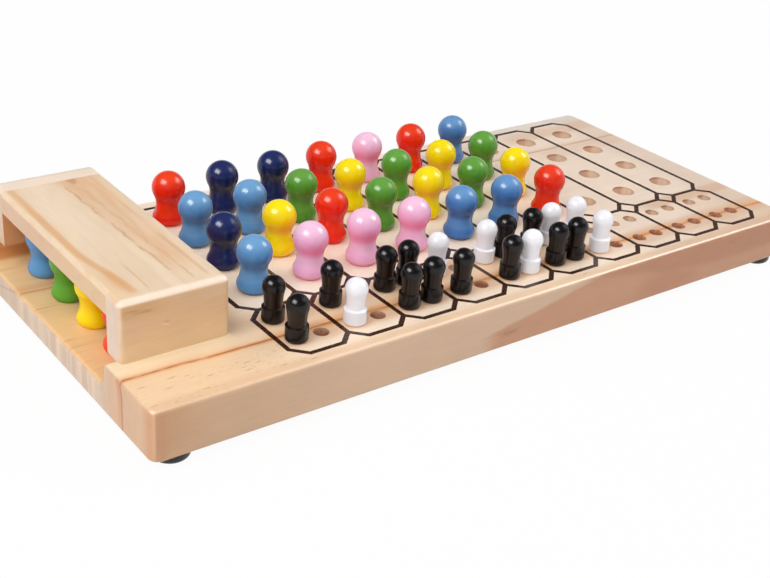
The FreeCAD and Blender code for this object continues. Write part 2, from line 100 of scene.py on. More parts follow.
class Paint:
    """A procedural material, with the object's own coordinates in millimetres.

    colour is the colour built up so far, which tint() adds layers to."""

    def __init__(self, name):
        self.material = bpy.data.materials.new(name)
        self.material.use_nodes = True
        self.nodes = self.material.node_tree.nodes
        self.links = self.material.node_tree.links
        self.shader = self.nodes["Principled BSDF"]
        self.colour = None
        place = self.nodes.new("ShaderNodeTexCoord")
        self.x, self.y, self.z = (axis * 1000.0 for axis in self.split(place.outputs["Object"]))
        self.nx, self.ny, self.nz = self.split(place.outputs["Normal"])

    def split(self, socket):
        """The three values of a vector."""
        node = self.nodes.new("ShaderNodeSeparateXYZ")
        self.links.new(socket, node.inputs[0])
        return [Value(self, node.outputs[i]) for i in range(3)]

    def feed(self, socket, value):
        """Links a value or another socket to the socket, or sets the socket to a constant."""
        if isinstance(value, Value):
            self.links.new(value.socket, socket)
        elif isinstance(value, bpy.types.NodeSocket):
            self.links.new(value, socket)
        else:
            socket.default_value = value

    def math(self, operation, *values):
        """A math node with this operation on the values."""
        node = self.nodes.new("ShaderNodeMath")
        node.operation = operation
        for i, value in enumerate(values):
            self.feed(node.inputs[i], value)
        return Value(self, node.outputs[0])

    def larger(self, *values):
        """The largest of the values."""
        most = values[0]
        for value in values[1:]:
            most = self.math("MAXIMUM", most, value)
        return most

    def count(self, operation, value, last):
        """value as a whole number from 0 to last."""
        return self.math("MINIMUM", self.larger(self.math(operation, value), 0.0), last)

    def distance(self, u, v):
        """How far the point u, v is from 0, 0."""
        return self.math("SQRT", u * u + v * v)

    def ramp(self, value, start, end, low=0.0, high=1.0):
        """low before start, high after end, and a smooth change between; end may be below start."""
        node = self.nodes.new("ShaderNodeMapRange")
        node.interpolation_type = "SMOOTHSTEP"
        self.feed(node.inputs["Value"], value)
        for name, number in (("From Min", start), ("From Max", end),
                             ("To Min", low), ("To Max", high)):
            node.inputs[name].default_value = number
        return Value(self, node.outputs["Result"])

    def band(self, value, start, full, fading, gone):
        """0 up to start, 1 from full to fading, and 0 from gone."""
        return self.ramp(value, start, full) * self.ramp(value, gone, fading)

    def line(self, value, half, soft):
        """1 where value is within half of zero, fading out over soft."""
        return self.ramp(abs(value), half, half + soft, 1.0, 0.0)

    def spot(self, u, v, half_u, half_v):
        """1 in the middle of an ellipse, fading to 0 at its edge."""
        return self.ramp(self.distance(u / half_u, v / half_v), 0.25, 1.0, 1.0, 0.0)

    def noise(self, u, v, w, detail=2.0, roughness=0.5):
        """Even noise from 0 to 1 with features about one unit wide."""
        place = self.nodes.new("ShaderNodeCombineXYZ")
        for i, value in enumerate((u, v, w)):
            self.feed(place.inputs[i], value)
        node = self.nodes.new("ShaderNodeTexNoise")
        node.inputs["Scale"].default_value = 1.0
        node.inputs["Detail"].default_value = detail
        node.inputs["Roughness"].default_value = roughness
        self.links.new(place.outputs[0], node.inputs["Vector"])
        return Value(self, node.outputs["Fac"])

    def wander(self, u, v, w, detail, reach, roughness=0.5):
        """Even noise from minus to plus half of reach."""
        return (self.noise(u, v, w, detail, roughness) - 0.5) * reach

    def mix(self, share, first, second):
        """The first colour with this share of the second."""
        node = self.nodes.new("ShaderNodeMix")
        node.data_type = "RGBA"
        self.feed(node.inputs[0], share)
        self.feed(node.inputs[6], first)
        self.feed(node.inputs[7], second)
        return node.outputs[2]

    def tint(self, share, layer):
        """Lays this share of another colour over the colour so far."""
        self.colour = self.mix(share, self.colour, layer)

    def shade(self, colour, factor):
        """The colour made darker or lighter by a factor."""
        node = self.nodes.new("ShaderNodeVectorMath")
        node.operation = "SCALE"
        self.feed(node.inputs[0], colour)
        self.feed(node.inputs["Scale"], factor)
        return node.outputs[0]

    def bump(self, height, distance):
        """height 1 stands distance millimetres above height 0."""
        node = self.nodes.new("ShaderNodeBump")
        node.inputs["Strength"].default_value = 1.0
        node.inputs["Distance"].default_value = distance / 1000.0
        self.feed(node.inputs["Height"], height)
        self.links.new(node.outputs[0], self.shader.inputs["Normal"])

    def set(self, **inputs):
        """Feeds the shader's inputs, named with _ for a space."""
        for name, value in inputs.items():
            self.feed(self.shader.inputs[name.replace("_", " ")], value)


def planed_wood(p, along, across, depth, seed, pale, deep, line_colour, line_share):
    """Starts the colour of planed pine: slow drift, growth lines along the grain, fine fibres.

    Returns the fibre value, and the fine tone to shade the finished colour with."""
    drift = p.noise(along * 0.011 + seed, across * 0.03, depth * 0.05)
    ring = across + (drift - 0.5) * 9.0
    broad = p.noise(along * 0.006 + seed, ring * 0.085, depth * 0.04, 3.0)
    lines = p.noise(along * 0.008, ring * 0.5 + seed, depth * 0.07, 3.0, 0.6)
    fibre = p.noise(along * 0.07, across * 2.6, depth * 2.6 + seed, 3.0, 0.6)
    cloud = p.noise(along * 0.05, across * 0.12 + seed, depth * 0.12, 3.0, 0.55)
    p.colour = p.mix(p.ramp(broad, 0.34, 0.68), pale, deep)
    p.tint(p.ramp(lines, 0.52, 0.72) * line_share, line_colour)
    tone = p.ramp(cloud, 0.3, 0.7, 0.97, 1.02) * p.ramp(fibre, 0.25, 0.75, 0.96, 1.03)
    return fibre, tone


def lacquer(p, fibre, smoother=0.0):
    """Satin lacquer that shows the fibres; smoother is taken off its roughness."""
    p.set(Base_Color=p.colour, Roughness=p.ramp(fibre, 0.3, 0.75, 0.36, 0.46) - smoother,
          Specular_IOR_Level=0.42)
    p.bump(fibre, 0.01)
    return p.material


def tint_top(p, top):
    """Golden at the left end and among the key holes, palest among the code holes, then greyer; the
    paleness among the holes is painted light.
    """
    x, y = p.x, p.y
    blotch = p.noise(x * 0.035, y * 0.07, 5.0, 3.0, 0.55)
    left_end = p.ramp(x - y * 0.1, -122.0, -70.0, 0.9, 0.0) * top
    p.tint(left_end, srgb(237, 203, 163))
    p.tint(left_end * p.ramp(y, -54.0, -46.0) * 0.8, srgb(244, 223, 190))
    # painted light: paler wood among the key and code holes, between the pegs
    middle = p.band(x, -112.0, -88.0, 62.0, 88.0) * top
    p.tint(p.band(y, -70.0, -64.0, -38.0, -34.0) * middle * 0.5, srgb(252, 232, 212))
    p.tint(p.ramp(y, -36.0, -30.0) * middle * 0.85, srgb(255, 239, 221))
    keys = p.band(y, -62.5, -58.5, -37.0, -31.0) * p.band(x, -112.0, -98.0, 30.0, 76.0)
    p.tint(keys * p.ramp(blotch, 0.3, 0.6, 0.6, 0.9) * top, srgb(243, 204, 166))
    right = p.ramp(x, 40.0, 92.0) * p.ramp(blotch, 0.35, 0.65, 0.7, 0.95)
    p.tint(right * top, srgb(237, 217, 199))
    p.tint(p.ramp(x, 136.0, 150.0) * 0.7 * top, srgb(226, 203, 184))
    p.tint(p.ramp(x, 92.0, 124.0) * p.ramp(y, -57.0, -62.0) * 0.6 * top, srgb(228, 196, 168))
    p.tint(p.ramp(x, 112.0, 132.0) * p.ramp(y, -36.0, -41.0) * 0.35 * top, srgb(226, 194, 166))


def tint_top_edges(p, top):
    """Tan bands and a greyer back edge on the right half, and a darker strip along the front."""
    x, y = p.x, p.y
    sway = p.wander(x * 0.03, 6.0, 1.0, 2.0, 5.0)
    for middle, half, start, share in TAN_BANDS:
        tan = p.line(y - middle + sway, half, 4.0) * p.ramp(x, start, start + 18.0)
        p.tint(tan * share * top, srgb(214, 174, 142))
    p.tint(p.ramp(y, 62.0, 67.0) * p.ramp(x, 80.0, 100.0) * 0.6 * top, srgb(221, 214, 206))
    strip = p.ramp(y, -65.5, -69.5) * top
    p.tint(strip * p.ramp(x, -130.0, -90.0, 0.6, 0.55), srgb(230, 191, 152))
    p.tint(strip * p.ramp(x, 50.0, 100.0, 0.0, 0.6), srgb(218, 182, 154))


def paint_shade_near_pieces(p, top):
    """Painted shade round the seated pegs, a little to their right, and a painted shadow beside the
    cover: darker, warmer wood.
    """
    x, y = p.x, p.y
    # painted shade round each seated peg, a little to its right
    for first_x, first_y, pitch, last_row, last_place, inner, outer, share in SEATED:
        row = p.count("ROUND", (x - first_x) / ROW_PITCH, last_row)
        place = p.count("ROUND", (y - first_y) / pitch, last_place)
        right = x - first_x - row * ROW_PITCH - 1.0
        away = p.distance(right, y - first_y - place * pitch)
        p.tint(p.ramp(away, inner, outer, share, 0.0) * top, srgb(218, 158, 118))
    # painted shadow of the cover on the wood beside it
    painted_cover_shadow = p.band(x, -116.0, -114.0, -113.0, -105.0) * p.ramp(y, -46.0, -40.0)
    p.tint(painted_cover_shadow * top * 0.42, srgb(190, 152, 120))


def tint_growth_lines(p, top, tilted, wobble):
    """The long growth line near the front, and a fainter one near the back of the last rows."""
    x, y = p.x, p.y
    seam = tilted + wobble - GROWTH_LINE
    patchy = p.noise(x * 0.09, y * 0.3, 8.0, 3.0, 0.6)
    skin = p.ramp(p.nz, -0.5, 0.3)
    glow = p.line(seam - 0.6, 0.8, 3.6) * p.ramp(patchy, 0.3, 0.6, 0.6, 1.0)
    p.tint(glow * p.ramp(x, -110.0, -96.0, 0.3, 0.75) * skin, srgb(232, 170, 116))
    halo = p.line(seam, 0.5, 1.3) * p.ramp(patchy, 0.3, 0.6, 0.5, 1.0)
    p.tint(halo * 0.8 * skin, srgb(224, 152, 90))
    core = p.line(seam, 0.14, 0.45) * p.ramp(patchy, 0.35, 0.55, 0.5, 1.0)
    p.tint(core * p.ramp(x, -100.0, 20.0, 0.85, 0.5) * skin, srgb(164, 100, 52))
    last_rows = p.ramp(x, 66.0, 76.0) * top
    back_core = p.line(y - 39.6 + wobble * 0.6, 0.15, 0.8) * p.ramp(patchy, 0.3, 0.6, 0.4, 0.9)
    p.tint(back_core * last_rows, srgb(176, 132, 98))
    back_glow = p.line(y - 40.4 + wobble * 0.6, 0.6, 2.0)
    p.tint(back_glow * last_rows * 0.35, srgb(222, 186, 156))


def tint_flecks(p, top):
    """Short flecks along the grain: a few clear ones, and many fine ones at the left end."""
    x, y = p.x, p.y
    bent = p.wander(x * 0.3, y * 0.3, 2.0, 2.0, 1.6)
    clear = p.larger(*(p.spot(x - u, y - v + bent, half_u, half_v)
                       for u, v, half_u, half_v in FLECKS))
    p.tint(clear * top * 0.65, srgb(180, 122, 74))
    fine = p.ramp(p.noise(x * 0.34, y * 2.4, 9.0, 2.0, 0.5), 0.60, 0.72)
    groups = p.ramp(p.noise(x * 0.05, y * 0.12, 1.0, 2.0), 0.42, 0.56)
    region = p.ramp(x, -88.0, -112.0, 0.25, 1.0) * p.ramp(y, -53.0, -56.0, 0.25, 1.0)
    p.tint(fine * groups * region * p.ramp(y, -30.0, -36.0) * top * 0.8, srgb(190, 136, 88))


def tint_front_edge(p, front):
    """Brown at its left end, beige, then a long reddish flame with a few dark streaks."""
    x, y, z = p.x, p.y, p.z
    # the beige base is darker than the top: painted shade on the front face
    p.tint(front * 0.85, srgb(206, 172, 143))
    p.tint(front * p.ramp(x, -70.0, -130.0) * 0.6, srgb(202, 162, 127))
    p.tint(front * p.spot(x + 166.0, z - 17.0, 34.0, 26.0) * 0.6, srgb(197, 148, 108))
    p.tint(front * p.ramp(x, -154.0, -160.5) * 0.5, srgb(190, 130, 94))
    ragged = p.wander(x * 0.03, z * 0.12, 1.0, 4.0, 12.0, 0.6)
    flame = p.ramp(x - p.larger(z - 11.0, 0.0) * 5.0 + ragged, -26.0, -14.0)
    p.tint(front * flame * 0.9, srgb(197, 145, 112))
    p.tint(front * p.spot(x - 82.0, z - 8.5, 27.0, 11.0) * 0.6, srgb(186, 128, 96))
    deeper = p.ramp(x - (15.5 - z) * 6.0 + ragged * 2.0, 62.0, 92.0)
    p.tint(front * deeper * p.ramp(z + ragged * 0.1, 9.0, 14.0) * 0.8, srgb(184, 129, 97))
    resin = p.ramp(p.noise(x * 0.045, y * 0.3, z * 0.8 - x * 0.035, 4.0, 0.6), 0.55, 0.66)
    places = p.larger(p.spot(x + 11.0, z - 10.6, 12.0, 2.6), p.spot(x - 100.0, z - 14.6, 13.0, 2.6),
                      p.spot(x - 128.0, z - 19.0, 12.0, 2.2))
    p.tint(front * resin * places * 0.6, srgb(150, 98, 74))


def tint_end_grain(p, end, tilted):
    """Upright stripes, pinkish and a little grey, peach in front of the growth line."""
    x, y, z = p.x, p.y, p.z
    stripes = p.noise(0.0, tilted * 0.17 + 20.0, z * 0.012, 3.0, 0.6)
    fine = p.noise(0.0, tilted * 0.8, z * 0.03 + 3.0, 3.0, 0.6)
    p.tint(end * 0.9, srgb(227, 201, 175))
    p.tint(end * p.ramp(stripes, 0.42, 0.60) * 0.7, srgb(208, 178, 157))
    p.tint(end * p.ramp(stripes, 0.44, 0.34) * 0.6, srgb(240, 212, 178))
    p.tint(end * p.ramp(y, 16.0, 50.0) * 0.35, srgb(208, 174, 146))
    p.tint(end * p.ramp(fine, 0.5, 0.68) * 0.25, srgb(200, 170, 150))
    peach = p.ramp(y, -34.0, -46.0)
    p.tint(end * peach * 0.85, srgb(222, 179, 140))
    p.tint(end * peach * p.ramp(fine, 0.45, 0.65) * 0.3, srgb(214, 168, 132))
    seam = tilted - GROWTH_LINE + 1.1 - p.ramp(z, 17.0, 23.0)
    glow = p.line(seam - 1.2, 0.8, 2.0) * p.ramp(z, 8.0, 20.0, 0.4, 0.75)
    p.tint(end * glow, srgb(212, 142, 100))
    p.tint(end * p.line(seam, 0.12, 0.6) * 0.75, srgb(180, 108, 74))
    p.tint(end * p.ramp(y, -63.5, -71.0) * 0.7, srgb(212, 154, 114))
    crack = p.line(z - 10.0 - (54.0 - y) * 0.27, 0.12, 0.6) * p.ramp(y, 32.0, 40.0)
    on_left = p.ramp(x, 0.0, -9.0)
    p.tint(end * on_left * crack * 0.4, srgb(160, 136, 120))


def tint_trough(p, top, end, wobble):
    """Golden, with an orange band and a few thin lines along its floor, and orange painted shade on
    its sides.
    """
    x, y, z = p.x, p.y, p.z
    across = p.ramp(abs(y - COVER_MIDDLE), 51.9, 51.2)
    below_top = p.ramp(z, BOARD_TOP - 0.3, BOARD_TOP - 0.9)
    faces_in = p.ramp(p.nz, -0.5, -0.1) * (1.0 - end)
    in_trough = p.ramp(x, -122.0, -123.5) * across * below_top * faces_in
    on_floor = in_trough * top
    p.tint(in_trough * 0.95, srgb(248, 210, 156))
    rings = p.noise(x * 0.012, y * 0.30 + x * 0.012, z * 0.05, 4.0, 0.6)
    p.tint(on_floor * p.ramp(rings, 0.50, 0.68) * 0.35, srgb(232, 184, 124))
    p.tint(on_floor * p.band(y + wobble, 33.5, 36.0, 39.5, 45.0) * 0.4, srgb(224, 160, 102))
    sway = wobble * 0.8 + x * 0.012
    for middle, reach, share in TROUGH_LINES:
        thin = p.line(y - middle + sway, 0.1, 0.5) * p.ramp(x, reach, reach - 8.0)
        p.tint(on_floor * thin * share, srgb(194, 134, 74))
    # orange painted shade on the trough's sides
    p.tint((in_trough - on_floor) * 0.85, srgb(214, 132, 66))


def tint_holes(p):
    """A little deeper in colour, and reddish where the growth line runs through."""
    x, y, z = p.x, p.y, p.z
    inside = p.band(x, -112.0, -110.0, 156.0, 158.0) * p.band(y, -72.0, -70.0, 70.0, 72.0)
    inside = inside * p.band(z, 4.5, 6.0, BOARD_TOP - 1.5, BOARD_TOP - 0.2)
    grit = p.noise(x * 0.5, y * 0.5, z * 0.3, 3.0, 0.6)
    p.tint(inside * 0.6, srgb(246, 222, 200))
    p.tint(inside * p.ramp(grit, 0.45, 0.68) * 0.25, srgb(206, 166, 136))
    reddish = p.ramp(y, -49.0, -52.0) * p.ramp(grit, 0.35, 0.6, 0.5, 0.9)
    p.tint(inside * reddish, srgb(186, 112, 74))


def printed_lines(p):
    """1 on the lines round the fields: two columns of cut-cornered boxes that share long lines."""
    x, y, z = p.x, p.y, p.z
    row = p.count("FLOOR", (x - FIRST_ROW) / ROW_PITCH, LAST_ROW)
    u = abs(x - FIRST_ROW - row * ROW_PITCH - HALF_ROW)
    rough = p.noise(x * 1.3, y * 1.3, 0.0) * 0.3 - 0.15
    lines = []
    for middle, half in FIELDS:
        v = abs(y - middle)
        corner = (u + v - (HALF_ROW + half - CORNER_CUT)) * math.sqrt(0.5)
        outline = p.larger(u - HALF_ROW, v - half, corner)
        lines.append(p.ramp(abs(outline) + rough, 0.92, 1.10, 1.0, 0.0))
    return p.larger(*lines) * p.ramp(z, BOARD_TOP - 0.3, BOARD_TOP - 0.2)


def board_wood():
    p = Paint("board_wood")
    x, y, z = p.x, p.y, p.z
    top = p.ramp(p.nz, 0.5, 0.9)
    end = p.ramp(abs(p.nx), 0.5, 0.9)
    front = p.ramp(p.ny, -0.5, -0.9)
    tilted = y + x * GRAIN_TILT
    wobble = p.wander(x * 0.06, 4.0, z * 0.05, 3.0, 2.2)
    fibre, tone = planed_wood(p, x, tilted, z, 3.7, srgb(249, 226, 201), srgb(245, 216, 187),
                              srgb(238, 202, 166), 0.35)
    tint_top(p, top)
    tint_top_edges(p, top)
    paint_shade_near_pieces(p, top)
    tint_growth_lines(p, top, tilted, wobble)
    tint_flecks(p, top)
    tint_front_edge(p, front)
    tint_end_grain(p, end, tilted)
    tint_trough(p, top, end, wobble)
    tint_holes(p)
    p.colour = p.shade(p.colour, tone)
    lines = printed_lines(p)
    worn = p.ramp(p.noise(x * 0.8, y * 0.8, 3.0, 3.0), 0.35, 0.7)
    p.tint(lines * 0.98, p.mix(worn, srgb(46, 17, 0), srgb(64, 26, 4)))
    return lacquer(p, fibre, lines * 0.16)


def panel_grain(p):
    """Starts the colour of the cover's upper side, whose grain runs along Y.

    Returns its fibre value and its fine tone, as planed_wood() does."""
    x, y, z = p.x, p.y, p.z
    u = x - COVER_LEFT
    fibre, tone = planed_wood(p, y, x, z, 8.1, srgb(237, 214, 186), srgb(231, 204, 172),
                              srgb(226, 192, 156), 0.3)
    drift = p.wander(y * 0.022, 2.0, 0.0, 3.0, 6.0)
    squiggle = p.wander(y * 0.10, 7.0, 0.0, 4.0, 4.0, 0.6)
    back = 1.0 - p.ramp(y, -33.0, -38.5)

    # a peach flame runs along the right side, with two broken brown lines on its left edge
    flame_left = u - 24.5 - (COVER_MIDDLE - y) * 0.035 + drift * 0.5
    peach = p.ramp(flame_left, -3.0, 2.5) * p.ramp(u, 39.0, 35.5)
    peach = peach * p.ramp(y, -36.0, -12.0, 0.1, 1.0)
    streaky = p.ramp(p.noise(y * 0.03, u * 0.35, 3.0, 3.0), 0.35, 0.65, 0.4, 1.0)
    p.tint(peach * streaky * 0.8, srgb(226, 178, 134))
    broken = p.ramp(p.noise(y * 0.08, 1.0, 0.0, 3.0), 0.40, 0.58)
    dark = p.line(flame_left + squiggle, 0.1, 0.8) * broken * p.ramp(y, 58.0, 48.0) * back
    p.tint(dark * 0.6, srgb(188, 138, 96))
    second = p.line(flame_left - 4.5 + squiggle * 1.3, 0.1, 0.8) * (1.0 - broken * 0.7)
    p.tint(second * p.ramp(y, 62.0, 52.0) * back * 0.4, srgb(200, 150, 106))
    knot = p.spot(u - 28.0, y - 57.0 - abs(u - 28.0) * 1.2, 2.6, 4.2)
    p.tint(knot * 0.75, srgb(188, 140, 94))
    groove = p.line(u - 36.0 + squiggle * 0.3, 0.2, 1.0) * p.ramp(y, 5.0, -5.0) * back
    p.tint(groove * 0.45, srgb(206, 164, 124))
    thin = p.line(u - 13.8 - squiggle * 0.4, 0.1, 0.6) * p.ramp(y, -12.0, -20.0) * back
    p.tint(thin * 0.4, srgb(206, 160, 116))

    # one golden-brown line near the left side, which bends inwards and spreads at the front
    warm = p.ramp(u, 10.0, 2.0) * p.ramp(y, -10.0, -28.0, 0.55, 0.85)
    p.tint(warm * 0.55, srgb(232, 190, 142))
    trail = u - 3.6 - p.ramp(y, 2.0, -36.0, 0.0, 4.6) + squiggle * 0.2
    golden = p.line(trail, 0.5, 1.9) * p.ramp(y, 62.0, 30.0, 0.6, 0.85) * p.ramp(y, -39.0, -34.0)
    p.tint(golden * 0.7, srgb(219, 156, 92))
    p.tint(p.spot(u - 6.6, y + 26.0, 3.6, 13.0) * 0.5, srgb(226, 162, 100))
    return fibre, tone


def cover_top_wood():
    p = Paint("cover_top_wood")
    x, y, z = p.x, p.y, p.z
    fibre, tone = panel_grain(p)
    # the long left arris has a pale painted highlight, the face below it is golden and lightly
    # freckled
    side = p.ramp(p.nx, -0.80, -0.98)
    arris_highlight = p.band(p.nx, -0.99, -0.88, -0.45, -0.10)
    side_colour = p.mix(p.ramp(y, -12.0, 20.0), srgb(229, 191, 147), srgb(223, 182, 148))
    p.tint(side * 0.9, side_colour)
    freckles = p.ramp(p.noise(x * 0.5, y * 0.16, z * 0.5, 3.0, 0.6), 0.5, 0.7)
    p.tint(side * freckles * 0.35, srgb(216, 174, 138))
    wavy = p.ramp(p.noise(y * 0.11, z * 0.4, 5.0, 3.0, 0.6), 0.45, 0.7)
    p.tint(arris_highlight * 0.7, srgb(240, 216, 186))
    p.tint(arris_highlight * wavy * 0.4, srgb(228, 186, 138))
    # painted highlight: paler on the faces that turn to the right
    p.tint(p.ramp(p.nx, 0.15, 0.5) * 0.7, srgb(246, 228, 208))
    # painted shade: dark orange on the faces that look down
    p.tint(p.ramp(p.nz, -0.5, -0.9) * 0.8, srgb(224, 168, 110))
    p.colour = p.shade(p.colour, tone)
    return lacquer(p, fibre)


def tint_front_face(p, u, outer):
    """Light brown, paler low down, with a short streak at the upper left and a dimple with a
    painted highlight.
    """
    x, y, z = p.x, p.y, p.z
    face = p.mix(p.ramp(z, 26.0, 40.0), srgb(231, 199, 156), srgb(215, 177, 137))
    p.tint(outer * 0.85, face)
    upper = outer * p.ramp(z, 38.0, 42.0)
    p.tint(upper * p.ramp(u, 22.0, 8.0) * 0.6, srgb(208, 162, 112))
    p.tint(upper * p.ramp(u, 24.0, 36.0) * 0.5, srgb(222, 190, 158))
    streaks = p.ramp(p.noise(x * 0.09, y * 0.3, (z + u * 0.08) * 0.9, 3.0, 0.6), 0.48, 0.62)
    p.tint(outer * streaks * p.spot(u - 7.0, z - 42.0, 10.0, 2.2) * 0.5, srgb(180, 122, 80))
    p.tint(outer * p.spot(u - 2.0, z - 34.0, 12.0, 6.0) * 0.3, srgb(226, 184, 154))
    p.tint(outer * p.spot(u - 17.2, z - 35.6, 1.8, 1.1) * 0.35, srgb(196, 150, 108))
    # painted highlight beside the dimple
    dimple_highlight = p.spot(u - 17.0, z - 34.6 - (17.0 - u) * 0.35, 2.6, 0.8)
    p.tint(outer * dimple_highlight * 0.5, srgb(240, 206, 180))


def cover_wall_wood():
    p = Paint("cover_wall_wood")
    x, y, z = p.x, p.y, p.z
    end = p.ramp(abs(p.nx), 0.6, 0.95)
    fibre, tone = planed_wood(p, x, z - x * 0.05, y, 5.3, srgb(236, 202, 164),
                              srgb(230, 192, 150), srgb(220, 178, 134), 0.3)
    tint_front_face(p, x - COVER_LEFT, p.ramp(y, -38.8, -40.0) * p.ramp(p.ny, -0.7, -0.97))

    # end grain is paler and pinkish; the inner faces get orange painted shade
    p.tint(end * 0.75, srgb(233, 211, 194))
    back_left = p.ramp(y, 20.0, 50.0) * p.ramp(x, -140.0, -155.0)
    p.tint(end * back_left * 0.5, srgb(214, 172, 134))
    grain = p.ramp(p.noise(y * 0.5, z * 0.06, 4.0, 3.0, 0.6), 0.45, 0.65)
    p.tint(end * grain * 0.45, srgb(218, 192, 172))
    inner = p.ramp(abs(y - COVER_MIDDLE), 46.2, 45.8) * p.ramp(z, 38.3, 37.5)
    p.tint(inner * (1.0 - end * p.ramp(x, -135.0, -150.0)) * 0.8, srgb(222, 142, 84))

    # the panel's grain runs on over the front wall up to its uneven outer arris, worn and with a
    # pale painted highlight
    level = p.ramp(p.nz, 0.25, 0.75)
    ahead = level * p.ramp(y, 10.0, -10.0)
    wall_colour = p.colour
    panel_fibre, panel_tone = panel_grain(p)
    p.colour = p.mix(ahead, wall_colour, p.colour)
    fibre = fibre + (panel_fibre - fibre) * ahead
    tone = tone + (panel_tone - tone) * ahead
    behind = level * p.ramp(y, 40.0, 60.0)
    p.tint(behind * 0.85, srgb(243, 225, 207))
    ripple = p.wander(x * 0.16, 3.0, 2.0, 4.0, 2.4, 0.6)
    # painted highlight along the worn front arris
    rim = p.ramp(y + ripple, -38.2, -39.8) * p.ramp(p.nz, 0.1, 0.5)
    p.tint(rim * 0.8, srgb(250, 230, 210))
    p.tint(level * p.line(y - 66.9 + ripple * 0.3, 0.3, 0.8) * 0.5, srgb(218, 200, 186))
    p.colour = p.shade(p.colour, tone)
    return lacquer(p, fibre)


def gloss_paint(name, kind, main, deep, soft, gloss, lift=0.75):
    """Thick gloss paint on turned wood.

    main is the colour, deep the colour of the painted shade under the head and at the foot and of
    the paint where it pools, soft the roughness, gloss how strong the reflections are, and lift the
    power that turns main into the paler colour of the painted light on the crown and flare."""
    p = Paint(name)
    x, y, z = p.x, p.y, p.z
    height = z - SEATS[kind]
    tone = p.noise(x * 0.045, y * 0.045, z * 0.02, 2.0)
    pool = p.noise(x * 0.3, y * 0.3, z * 0.2, 2.0)
    film = p.noise(x * 0.7, y * 0.7, z * 0.4, 2.0)
    front_right = p.ramp(p.nx - p.ny * 0.4, -1.0, 0.7, 0.55, 1.0)
    # painted shade: deeper colour under the head, most on the front right, and at the foot by the
    # seat
    painted_shade = p.band(height, *SHADE_HEIGHTS[kind]) * front_right
    rim = p.ramp(height, 2.6, 0.0, 0.0, 0.5)
    p.colour = p.mix(p.larger(painted_shade, rim), main, deep)
    p.tint(p.ramp(pool, 0.3, 0.8) * 0.12, deep)
    # painted light: a paler crown and flare on the code pegs
    if kind == "code":
        pale = tuple(level ** lift for level in main)
        lit = p.larger(p.ramp(height, *CROWN) * 0.85, p.band(height, *FLARE) * 0.4)
        p.tint(lit, pale)
    p.set(Base_Color=p.shade(p.colour, p.ramp(tone, 0.3, 0.7, 0.97, 1.03)),
          Roughness=p.ramp(film, 0.3, 0.8, soft, soft + 0.04), Specular_IOR_Level=gloss)
    p.bump(pool, 0.006)
    return p.material


def rubber():
    p = Paint("foot_rubber")
    x, y, z = p.x, p.y, p.z
    cloud = p.noise(x * 0.4, y * 0.4, z * 0.4, 3.0, 0.6)
    fine = p.noise(x * 4.0, y * 4.0, z * 4.0, 2.0, 0.6)
    p.set(Base_Color=p.mix(p.ramp(cloud, 0.3, 0.7), srgb(15, 9, 7), srgb(27, 19, 16)),
          Roughness=p.ramp(cloud, 0.3, 0.8, 0.24, 0.34))
    p.bump(fine, 0.01)
    return p.material


# What gloss_paint() takes for each colour. The pegs of the hidden code get little light under the
# cover, where the photo shows them nearly as bright as the others, so their paint is paler.
COLOURS = {
    "hidden_blue": (srgb(98, 156, 210), srgb(84, 136, 188), 0.20, 0.25),
    "hidden_green": (srgb(98, 166, 48), srgb(88, 148, 34), 0.20, 0.25),
    "hidden_yellow": (srgb(255, 226, 0), srgb(255, 204, 0), 0.20, 0.25),
    "hidden_red": (srgb(250, 66, 22), srgb(244, 52, 16), 0.20, 0.22),
    "light_blue": (srgb(87, 143, 199), srgb(58, 100, 156), 0.20, 0.38),
    "blue": (srgb(71, 124, 189), srgb(54, 82, 138), 0.20, 0.38, 0.67),
    "navy": (srgb(23, 34, 86), srgb(22, 22, 50), 0.20, 0.40, 0.88),
    "red": (srgb(236, 38, 6), srgb(228, 22, 2), 0.20, 0.36),
    "green": (srgb(78, 147, 43), srgb(82, 122, 24), 0.20, 0.38),
    "yellow": (srgb(255, 222, 0), srgb(252, 176, 0), 0.20, 0.36),
    "pink": (srgb(249, 186, 222), srgb(252, 116, 172), 0.20, 0.38),
    "black": (srgb(16, 12, 14), srgb(32, 19, 13), 0.23, 0.34),
    "white": (srgb(244, 244, 250), srgb(246, 246, 254), 0.24, 0.34),
}


def peg_paint(node):
    """The kind of a peg, code, hidden or key, and the name of its colour."""
    kind, colour = node.split("_")[0], node.split("place")[1][2:]
    return kind, "hidden_" + colour if kind == "hidden" else colour


walls = cover_wall_wood()
materials = {"game_board": board_wood(), "rubber_feet": rubber(),
             "cover_top_panel": cover_top_wood(), "cover_front_wall": walls,
             "cover_back_wall": walls, "cover_end_wall": walls}
paints = {}
for node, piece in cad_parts.items():
    if node in materials:
        material = materials[node]
    else:
        kind, colour = peg_paint(node)
        if (kind, colour) not in paints:
            paints[kind, colour] = gloss_paint("paint_" + colour, kind, *COLOURS[colour])
        material = paints[kind, colour]
    for slot in piece.material_slots:
        slot.material = material


def place_lamp(name, direction, distance, width, height, share, glint):
    """A soft window that gives a level floor this share of full light.

    The windows that show as glints in the gloss are smaller than those that light the surfaces."""
    lamp = bpy.data.lights.new(name, "AREA")
    lamp.shape = "RECTANGLE"
    lamp.size, lamp.size_y = width, height
    towards = Vector(direction).normalized()
    lamp.energy = share * math.pi ** 2 * distance ** 2 / towards.z
    lamp.color = (1.0, 0.985, 0.965)
    holder = bpy.data.objects.new(name, lamp)
    holder.location = Vector((0.0, 0.0, 0.03)) + towards * distance
    holder.rotation_euler = towards.to_track_quat("Z", "Y").to_euler()
    holder.visible_camera = False
    holder.visible_glossy = glint
    holder.visible_diffuse = not glint
    bpy.context.scene.collection.objects.link(holder)


